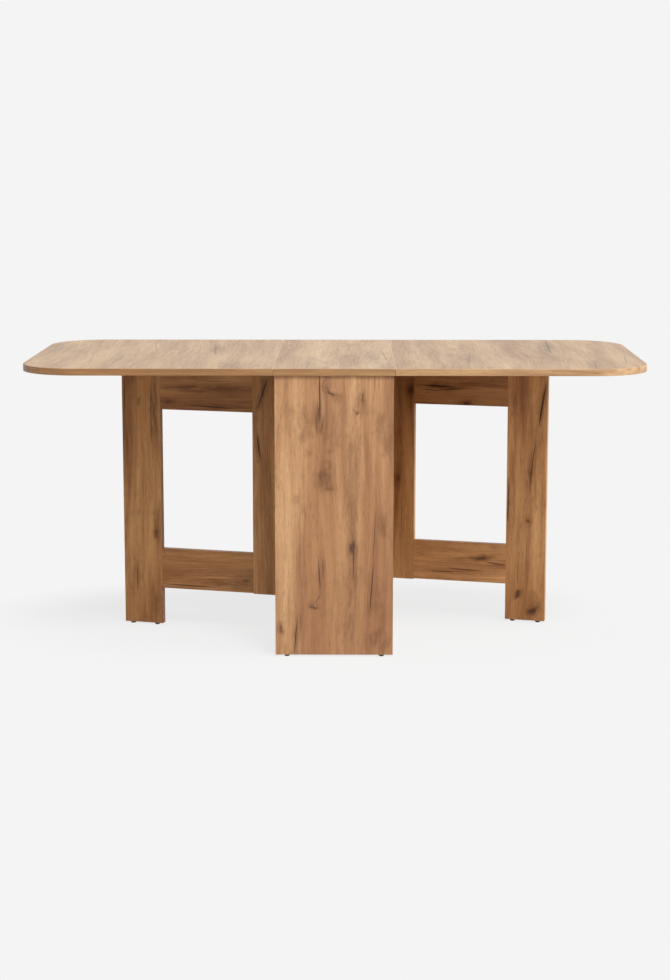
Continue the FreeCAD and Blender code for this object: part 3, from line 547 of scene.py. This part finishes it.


# shade: painted light and shade, how light a board is drawn at its foot, middle and head
# each mark: share across, share along, half width and half length in metres, lean in degrees, darkness
boardMarks = {
    "front_panel": {
        "shade": (0.87, 0.95, 0.98),
        "knots": [(0.474, 0.949, 0.005, 0.012, -58, 0.95), (0.372, 0.862, 0.005, 0.018, 0, 0.7),
                  (0.688, 0.876, 0.004, 0.004, 0, 0.75), (0.744, 0.926, 0.004, 0.006, 0, 0.6),
                  (0.652, 0.395, 0.006, 0.02, 2, 1.0), (0.33, 0.178, 0.005, 0.009, -70, 0.9),
                  (0.045, 0.093, 0.005, 0.01, 0, 0.8), (0.395, 0.65, 0.009, 0.016, 20, 0.4),
                  (0.455, 0.6, 0.01, 0.008, 0, 0.4)],
        "smudges": [(0.425, 0.64, 0.026, 0.044, 12, 0.95), (0.47, 0.735, 0.014, 0.012, -30, 0.75),
                    (0.28, 0.73, 0.014, 0.02, 20, 0.45), (0.18, 0.56, 0.016, 0.018, 0, 0.45),
                    (0.38, 0.835, 0.012, 0.05, 0, 0.6), (0.52, 0.925, 0.02, 0.02, -40, 0.45),
                    (0.72, 0.9, 0.018, 0.05, 0, 0.4), (0.655, 0.5, 0.012, 0.08, 0, 0.55),
                    (0.665, 0.29, 0.018, 0.12, 4, 0.8), (0.64, 0.62, 0.022, 0.15, 0, 0.45),
                    (0.64, 0.11, 0.022, 0.1, 3, 0.55), (0.9, 0.47, 0.014, 0.045, -16, 0.75),
                    (0.84, 0.06, 0.02, 0.04, 22, 0.8), (0.93, 0.035, 0.012, 0.03, 22, 0.6),
                    (0.8, 0.2, 0.012, 0.07, 8, 0.55), (0.39, 0.29, 0.012, 0.06, 0, 0.5),
                    (0.18, 0.08, 0.012, 0.06, 8, 0.45), (0.06, 0.35, 0.01, 0.1, 0, 0.25)],
        "cracks": [(0.376, 0.93, 0.002, 0.075, 0, 1.0), (0.35, 0.825, 0.0018, 0.03, -6, 0.6),
                   (0.398, 0.825, 0.0018, 0.028, 8, 0.6), (0.84, 0.975, 0.0016, 0.03, 0, 0.6),
                   (0.815, 0.24, 0.002, 0.085, 4, 0.95), (0.838, 0.43, 0.0016, 0.08, 3, 0.75),
                   (0.655, 0.33, 0.0022, 0.06, 0, 0.75), (0.372, 0.29, 0.0018, 0.058, -3, 0.8),
                   (0.402, 0.31, 0.0018, 0.035, 0, 0.7), (0.362, 0.205, 0.0016, 0.02, 28, 0.7),
                   (0.172, 0.065, 0.002, 0.06, 5, 0.85), (0.215, 0.12, 0.0014, 0.03, 0, 0.45),
                   (0.735, 0.9, 0.0014, 0.04, 0, 0.35)],
    },
    "left_leaf_board": {
        "smudges": [(0.1, 0.62, 0.03, 0.15, 0, 0.5), (0.74, 0.64, 0.03, 0.16, -6, 0.55),
                    (0.52, 0.8, 0.03, 0.16, -8, 0.5), (0.35, 0.35, 0.025, 0.18, -6, 0.4)],
        "cracks": [(0.045, 0.56, 0.0025, 0.182, 6, 0.6), (0.469, 0.71, 0.0023, 0.196, -6, 0.52),
                   (0.545, 0.88, 0.0025, 0.14, 0, 0.42), (0.727, 0.61, 0.0029, 0.182, -4, 0.6),
                   (0.8, 0.86, 0.0023, 0.14, 4, 0.42), (0.25, 0.3, 0.0023, 0.168, -5, 0.35),
                   (0.62, 0.25, 0.0018, 0.154, -3, 0.32)],
    },
    "center_top": {
        "smudges": [(0.3, 0.25, 0.022, 0.14, 0, 0.45), (0.8, 0.45, 0.025, 0.17, -4, 0.5)],
        "cracks": [(0.274, 0.14, 0.0023, 0.14, 0, 0.46), (0.93, 0.4, 0.0025, 0.196, -3, 0.56),
                   (0.62, 0.72, 0.0018, 0.168, 3, 0.35)],
    },
    "right_leaf_board": {
        "smudges": [(0.3, 0.35, 0.028, 0.14, 5, 0.5), (0.66, 0.7, 0.03, 0.17, 4, 0.6),
                    (0.78, 0.18, 0.022, 0.1, 4, 0.45), (0.48, 0.6, 0.03, 0.17, 0, 0.45)],
        "cracks": [(0.304, 0.33, 0.0025, 0.182, 4, 0.63), (0.667, 0.72, 0.0037, 0.238, 3, 0.67),
                   (0.637, 0.4, 0.0023, 0.168, -4, 0.5), (0.789, 0.14, 0.0023, 0.14, 5, 0.52),
                   (0.93, 0.28, 0.0023, 0.154, 6, 0.46), (0.47, 0.62, 0.0018, 0.168, 3, 0.32)],
    },
    "left_gate_leg": {
        "shade": (0.74, 1.16, 0.81),
        "knots": [(0.3, 0.965, 0.005, 0.01, 0, 0.8), (0.5, 0.97, 0.005, 0.008, 0, 0.6),
                  (0.86, 0.355, 0.006, 0.012, 0, 0.8), (0.42, 0.86, 0.004, 0.01, 0, 0.4)],
        "smudges": [(0.84, 0.82, 0.016, 0.13, 0, 0.85), (0.22, 0.93, 0.018, 0.06, 0, 0.6),
                    (0.88, 0.38, 0.012, 0.08, 0, 0.7), (0.1, 0.64, 0.01, 0.16, 0, 0.4),
                    (0.8, 0.1, 0.016, 0.06, 0, 0.55), (0.3, 0.24, 0.014, 0.1, 4, 0.4)],
        "cracks": [(0.34, 0.17, 0.0018, 0.05, 0, 0.75), (0.05, 0.88, 0.0022, 0.07, 1, 0.8),
                   (0.76, 0.8, 0.0018, 0.11, 0, 0.6), (0.84, 0.07, 0.0016, 0.04, 0, 0.55),
                   (0.24, 0.7, 0.0014, 0.07, 0, 0.45)],
    },
    "left_gate_stile": {
        "shade": (1.12, 1.2, 0.86),
        "knots": [(0.7, 0.93, 0.006, 0.014, 0, 0.6)],
        "smudges": [(0.3, 0.888, 0.012, 0.07, 19, 0.8), (0.17, 0.655, 0.01, 0.07, -8, 0.7),
                    (0.45, 0.53, 0.01, 0.06, 0, 0.5)],
        "cracks": [(0.3, 0.888, 0.003, 0.05, 19, 1.0), (0.17, 0.655, 0.003, 0.045, -8, 0.95)],
    },
    "left_gate_top_rail": {
        "shade": (0.83, 0.85, 0.88),
        "knots": [(0.2, 0.1, 0.006, 0.014, 0, 0.55)],
        "smudges": [(0.55, 0.55, 0.016, 0.16, 0, 0.85), (0.82, 0.3, 0.01, 0.1, 0, 0.6),
                    (0.12, 0.6, 0.008, 0.14, 0, 0.8)],
        "cracks": [(0.1, 0.56, 0.0022, 0.08, -3, 0.95), (0.55, 0.22, 0.0018, 0.06, 2, 0.6),
                   (0.72, 0.6, 0.0016, 0.07, 0, 0.5)],
    },
    "left_gate_bottom_rail": {
        "shade": (0.92, 0.94, 0.95),
        "knots": [(0.3, 0.9, 0.005, 0.012, 0, 0.5)],
        "smudges": [(0.2, 0.7, 0.012, 0.13, -2, 0.75), (0.8, 0.25, 0.01, 0.1, 0, 0.35),
                    (0.45, 0.45, 0.01, 0.1, 3, 0.4)],
        "cracks": [(0.1, 0.3, 0.0018, 0.1, -1, 0.85), (0.28, 0.6, 0.0014, 0.09, 2, 0.5)],
    },
    "right_gate_leg": {
        "shade": (0.74, 1.5, 1.14),
        "knots": [(0.32, 0.104, 0.006, 0.01, 40, 0.9), (0.71, 0.042, 0.013, 0.009, -20, 1.0),
                  (0.57, 0.395, 0.005, 0.008, 0, 0.75), (0.61, 0.567, 0.004, 0.008, 0, 0.55)],
        "smudges": [(0.87, 0.835, 0.01, 0.075, 8, 0.9), (0.62, 0.6, 0.012, 0.11, 6, 0.75),
                    (0.06, 0.46, 0.008, 0.1, 0, 0.75), (0.7, 0.08, 0.024, 0.03, -20, 0.6),
                    (0.14, 0.59, 0.01, 0.06, 0, 0.5), (0.2, 0.86, 0.012, 0.04, 0, 0.5)],
        "cracks": [(0.86, 0.835, 0.0032, 0.065, 9, 1.0), (0.63, 0.6, 0.0022, 0.09, 6, 0.75),
                   (0.03, 0.46, 0.0022, 0.08, 0, 0.85), (0.3, 0.2, 0.0014, 0.06, 0, 0.5),
                   (0.52, 0.26, 0.0014, 0.06, 0, 0.45)],
    },
    "right_gate_stile": {
        "shade": (0.95, 1.02, 0.58),
        "knots": [(0.88, 0.872, 0.006, 0.014, 10, 0.95), (0.52, 0.46, 0.006, 0.014, 0, 0.55)],
        "smudges": [(0.85, 0.85, 0.014, 0.06, 0, 0.75), (0.58, 0.7, 0.014, 0.2, 0, 0.6),
                    (0.53, 0.44, 0.01, 0.08, 0, 0.6)],
        "cracks": [(0.62, 0.3, 0.0014, 0.11, 0, 0.45), (0.4, 0.15, 0.0014, 0.06, 0, 0.4)],
    },
    "right_gate_top_rail": {
        "shade": (0.84, 0.84, 0.86),
        "knots": [(0.05, 0.56, 0.005, 0.01, 0, 0.95)],
        "smudges": [(0.45, 0.3, 0.014, 0.1, 0, 0.9), (0.55, 0.7, 0.01, 0.1, 0, 0.65),
                    (0.1, 0.56, 0.008, 0.04, 0, 0.6)],
        "cracks": [(0.46, 0.25, 0.003, 0.05, -2, 1.0), (0.4, 0.42, 0.0024, 0.035, 3, 0.9),
                   (0.36, 0.18, 0.0018, 0.03, -4, 0.75)],
    },
    "right_gate_bottom_rail": {
        "shade": (1.25, 1.25, 1.22),
        "knots": [(0.62, 0.74, 0.005, 0.014, 0, 0.85)],
        "smudges": [(0.62, 0.76, 0.01, 0.05, 0, 0.65), (0.26, 0.52, 0.008, 0.09, 0, 0.6),
                    (0.8, 0.3, 0.008, 0.08, 0, 0.4)],
        "cracks": [(0.3, 0.55, 0.0022, 0.06, -2, 0.85), (0.22, 0.32, 0.0018, 0.05, 2, 0.7),
                   (0.5, 0.89, 0.002, 0.036, -8, 0.85), (0.6, 0.56, 0.0014, 0.08, 3, 0.5)],
    },
}


# how far a node reaches along one direction
def span(nodeName, way):
    reach = [vertex.co.dot(way) for vertex in frame["nodes"][nodeName].data.vertices]
    return min(reach), max(reach)


# give a node its own print, with its marks placed on it
def dressBoard(nodeName, across, grain, seed, kind):
    across, grain = across.normalized(), grain.normalized()
    acrossLow, acrossHigh = span(nodeName, across)
    grainLow, grainHigh = span(nodeName, grain)
    wide, tall = acrossHigh - acrossLow, grainHigh - grainLow
    given = boardMarks.get(nodeName, {})
    placed = {}
    for group in ("knots", "smudges", "cracks"):
        placed[group] = [(u * wide, v * tall, *rest) for u, v, *rest in given.get(group, ())]
    # the board's painted light and shade, with its length
    if "shade" in given:
        placed["shade"] = (*given["shade"], tall)
    origin = across * acrossLow + grain * grainLow
    dress(nodeName, oakMaterial("oak_" + nodeName, across, grain, origin, seed, kind, placed))


up = Vector((0.0, 0.0, 1.0))
right = Vector((1.0, 0.0, 0.0))
rear = Vector((0.0, 1.0, 0.0))


def dressBoards():
    dressBoard("front_panel", right, up, 1.0, "front")
    dressBoard("rear_panel", right, up, 2.0, "hidden")
    dressBoard("spine_panel", rear, up, 3.0, "hidden")
    dressBoard("center_top", right, rear, 6.0, "top")
    dressBoard("center_top_edge_band", up, right, 6.5, "band")
    # the gates stand parallel, so one direction serves both
    stileLow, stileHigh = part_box("left_gate_stile")
    legLow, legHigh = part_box("left_gate_leg")
    along = (stileLow + stileHigh) / 2 - (legLow + legHigh) / 2
    along.z = 0.0
    for side, seed in (("left", 7.0), ("right", 8.0)):
        dressBoard(side + "_hinge_board", right, up, seed + 3.0, "hidden")
        dressBoard(side + "_leaf_board", right, rear, seed, "top")
        dressBoard(side + "_leaf_edge_band", up, right, seed + 0.5, "band")
        dressBoard(side + "_gate_stop", up, along, seed + 0.7, "gate")
        for number, part in enumerate(("leg", "stile", "bottom_rail", "top_rail")):
            node = side + "_gate_" + part
            across, grain = (up, along) if "rail" in part else (along, up)
            dressBoard(node, across, grain, seed * 2 + number, "gate")
    print("boards dressed")


# each metal's colour and roughness
metals = {
    "hinge_steel": (srgb(180, 176, 165), 0.34),
    "screw_zinc": (srgb(158, 154, 144), 0.36),
    "cam_zinc": (srgb(140, 141, 142), 0.48),
}
metalLook = {
    "cloud": 140.0,
    "cloudDetail": 3.0,
    "cloudSpan": (0.35, 0.7),
    "darker": 0.72,
    "scratch": (900.0, 900.0, 40.0),
    "scratchSpan": (0.3, 0.7),
    "roughnessSpread": (-0.08, 0.10),
    "bump": 0.2,
    "bumpDepth": 0.00005,
}

# moulded plastic, felt and raw beech: colour, roughness, how fine the grain is and how deep
matts = {
    "glide_plastic": (srgb(38, 34, 32), 0.55, 900.0, 0.00008),
    "pad_felt": (srgb(84, 70, 58), 0.95, 1400.0, 0.0004),
    "dowel_beech": (srgb(212, 178, 134), 0.70, 500.0, 0.0001),
}
mattLook = {
    "detail": 4.0,
    "harshness": 0.65,
    "lighter": 1.35,
    "lift": 0.004,
    "grainSpan": (0.35, 0.7),
    "roughnessDrop": 0.12,
    "bump": 0.5,
}


def metalMaterial(name, colour, roughness):
    material, tree, shader = newMaterial(name)
    coordinates = add(tree, "ShaderNodeTexCoord").outputs["Object"]
    cloud = noise(tree, coordinates, scale=metalLook["cloud"], detail=metalLook["cloudDetail"])
    scratch = noise(tree, stretched(tree, coordinates, metalLook["scratch"]))
    darker = (*(channel * metalLook["darker"] for channel in colour[:3]), 1.0)
    tint = mixColour(tree, ramp(tree, cloud, *metalLook["cloudSpan"]), colour, darker)
    tree.links.new(tint, shader.inputs["Base Color"])
    shader.inputs["Metallic"].default_value = 1.0
    smooth, dull = (roughness + change for change in metalLook["roughnessSpread"])
    tree.links.new(ramp(tree, scratch, *metalLook["scratchSpan"], smooth, dull), shader.inputs["Roughness"])
    addBump(tree, shader, scratch, metalLook["bump"], metalLook["bumpDepth"])
    return material


def mattMaterial(name, colour, roughness, grainScale, depth):
    material, tree, shader = newMaterial(name)
    coordinates = add(tree, "ShaderNodeTexCoord").outputs["Object"]
    grain = noise(tree, coordinates, grainScale, mattLook["detail"], mattLook["harshness"])
    share = ramp(tree, grain, *mattLook["grainSpan"])
    lighter = (*(channel * mattLook["lighter"] + mattLook["lift"] for channel in colour[:3]), 1.0)
    tree.links.new(mixColour(tree, share, colour, lighter), shader.inputs["Base Color"])
    dull = minus(tree, roughness, times(tree, share, mattLook["roughnessDrop"]))
    tree.links.new(dull, shader.inputs["Roughness"])
    addBump(tree, shader, grain, mattLook["bump"], depth)
    return material


def dressHardware():
    finishes = {name: metalMaterial(name, *values) for name, values in metals.items()}
    finishes.update((name, mattMaterial(name, *values)) for name, values in matts.items())
    for part in record["subparts"]:
        if part["material_slot"] in finishes:
            dress(part["node"], finishes[part["material_slot"]])
    print("hardware dressed")


# one for rays from the camera and for reflections, nought for light that bounces
def seenDirectly(tree):
    rays = add(tree, "ShaderNodeLightPath")
    seen = maths(tree, "ADD", rays.outputs["Is Camera Ray"], rays.outputs["Is Glossy Ray"])
    return maths(tree, "ADD", seen, rays.outputs["Is Transmission Ray"], clamp=True)


def mixShaders(tree, share, first, second):
    thing = add(tree, "ShaderNodeMixShader")
    for socket, value in zip(thing.inputs, (share, first.outputs[0], second.outputs[0])):
        feed(tree, socket, value)
    return thing


# the floor is as pale as the room, shows a little real shade near the table, and is clear from below
def addFloor():
    bpy.ops.mesh.primitive_plane_add(size=2 * floor["half"], location=(0.0, 0.0, 0.0))
    thing = bpy.context.object
    thing.name = "floor"
    material = bpy.data.materials.new("floorPaper")
    tree = emptyTree(material)
    out = add(tree, "ShaderNodeOutputMaterial")
    diffuse = add(tree, "ShaderNodeBsdfDiffuse")
    glow = add(tree, "ShaderNodeEmission")
    glow.inputs["Color"].default_value = (*floor["colour"], 1.0)
    seen = seenDirectly(tree)
    tint = mixColour(tree, seen, (*floor["bounce"], 1.0), (*floor["lit"], 1.0))
    tree.links.new(tint, diffuse.inputs["Color"])
    reachX, reachY = floor["shadeReach"]
    place = add(tree, "ShaderNodeTexCoord").outputs["Object"]
    away = lengthOf(tree, stretched(tree, place, (1.0 / reachX, 1.0 / reachY, 1.0)))
    plain = ramp(tree, away, *floor["shadeEdge"], 1.0 - floor["shadeShare"], 1.0)
    paper = mixShaders(tree, times(tree, seen, plain), diffuse, glow)
    fromBelow = add(tree, "ShaderNodeNewGeometry").outputs["Backfacing"]
    whole = mixShaders(tree, fromBelow, paper, add(tree, "ShaderNodeBsdfTransparent"))
    tree.links.new(whole.outputs[0], out.inputs[0])
    thing.data.materials.append(material)


def addRoom():
    world = bpy.data.worlds.new("room")
    bpy.context.scene.world = world
    tree = emptyTree(world)
    out = add(tree, "ShaderNodeOutputWorld")
    back = add(tree, "ShaderNodeBackground")
    back.inputs["Color"].default_value = (*light["roomColour"], 1.0)
    seen = seenDirectly(tree)
    direction = split(tree, add(tree, "ShaderNodeTexCoord").outputs["Generated"])
    level = ramp(tree, direction[0], -1.0, 1.0, light["roomLeft"], light["roomRight"], kind="LINEAR")
    strength = ramp(tree, seen, 0.0, 1.0, level, 1.0, kind="LINEAR")
    tree.links.new(strength, back.inputs["Strength"])
    tree.links.new(back.outputs[0], out.inputs[0])


addCamera()
addRoom()
addSun("key", light["keyFrom"], light["keyPower"], light["keySpread"])
addSun("fill", light["fillFrom"], light["fillPower"], light["fillSpread"])
addFloor()
bpy.context.scene.view_settings.view_transform = "Standard"
print("camera, room and light set")

dressBoards()
dressHardware()
